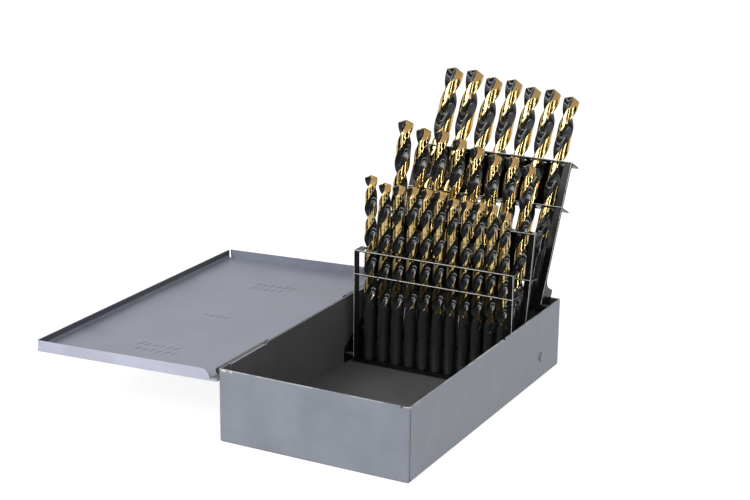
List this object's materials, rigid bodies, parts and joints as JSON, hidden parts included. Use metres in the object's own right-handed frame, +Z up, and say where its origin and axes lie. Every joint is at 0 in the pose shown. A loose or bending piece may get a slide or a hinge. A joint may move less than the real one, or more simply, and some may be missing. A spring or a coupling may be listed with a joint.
{
  "type": "drill bit drawer case",
  "caption": "Folding sheet steel drill index: hinged flat lid and three tiered racks that raise twist drills out of a shallow box.",
  "frame": {"origin": "centre of the underside of the case floor", "axes": "+X across the case away from the lid hinge, +Y towards the end where the racks stand, +Z up"},
  "size_m": [0.2228, 0.2438, 0.1548],
  "materials": {
    "grey_enamel": "satin hammertone grey enamel",
    "black_enamel": "gloss black enamel",
    "steel_pin": "plain steel",
    "drill_steel": "black oxide with gold flutes"
  },
  "bodies": {
    "case": {"case_body": "grey_enamel", "front_rack_pivot_left": "steel_pin", "front_rack_pivot_right": "steel_pin", "gusset_left": "black_enamel", "gusset_right": "black_enamel", "hinge_pin_far": "steel_pin", "hinge_pin_near": "steel_pin", "middle_rack_pivot_left": "steel_pin", "middle_rack_pivot_right": "steel_pin", "rear_rack_pivot_left": "steel_pin", "rear_rack_pivot_right": "steel_pin", "wall_rivet_left": "grey_enamel", "wall_rivet_right": "grey_enamel"},
    "lid": {"lid": "grey_enamel"},
    "front_rack": {"front_rack": "black_enamel", "drill_k": "drill_steel", "drill_j": "drill_steel", "drill_i": "drill_steel", "drill_h": "drill_steel", "drill_g": "drill_steel", "drill_f": "drill_steel", "drill_e": "drill_steel", "drill_d": "drill_steel", "drill_c": "drill_steel", "drill_b": "drill_steel", "drill_a": "drill_steel"},
    "middle_rack": {"middle_rack": "black_enamel", "drill_s": "drill_steel", "drill_r": "drill_steel", "drill_q": "drill_steel", "drill_p": "drill_steel", "drill_o": "drill_steel", "drill_n": "drill_steel", "drill_m": "drill_steel", "drill_l": "drill_steel"},
    "rear_rack": {"rear_rack": "black_enamel", "drill_z": "drill_steel", "drill_y": "drill_steel", "drill_x": "drill_steel", "drill_w": "drill_steel", "drill_v": "drill_steel", "drill_u": "drill_steel", "drill_t": "drill_steel"}
  },
  "joints": [
    {"name": "lid_hinge", "type": "hinge", "parent": "case", "child": "lid", "pos_m": [-0.0563, 0, 0.0366], "axis": [0, 1, 0], "range_deg": [0, 93]},
    {"name": "rear_rack_fold", "type": "hinge", "parent": "case", "child": "rear_rack", "pos_m": [0, 0.0881, 0.0354], "axis": [1, 0, 0], "range_deg": [0, 117]},
    {"name": "middle_rack_fold", "type": "hinge", "parent": "case", "child": "middle_rack", "pos_m": [0, 0.0567, 0.01535], "axis": [1, 0, 0], "range_deg": [0, 100]},
    {"name": "front_rack_fold", "type": "hinge", "parent": "case", "child": "front_rack", "pos_m": [0, 0.0405, 0.0047], "axis": [1, 0, 0], "range_deg": [0, 90]}
  ],
  "couplings": [
    {"joint": "middle_rack_fold", "follows": "rear_rack_fold", "ratio": 0.8547},
    {"joint": "front_rack_fold", "follows": "rear_rack_fold", "ratio": 0.7692}
  ]
}
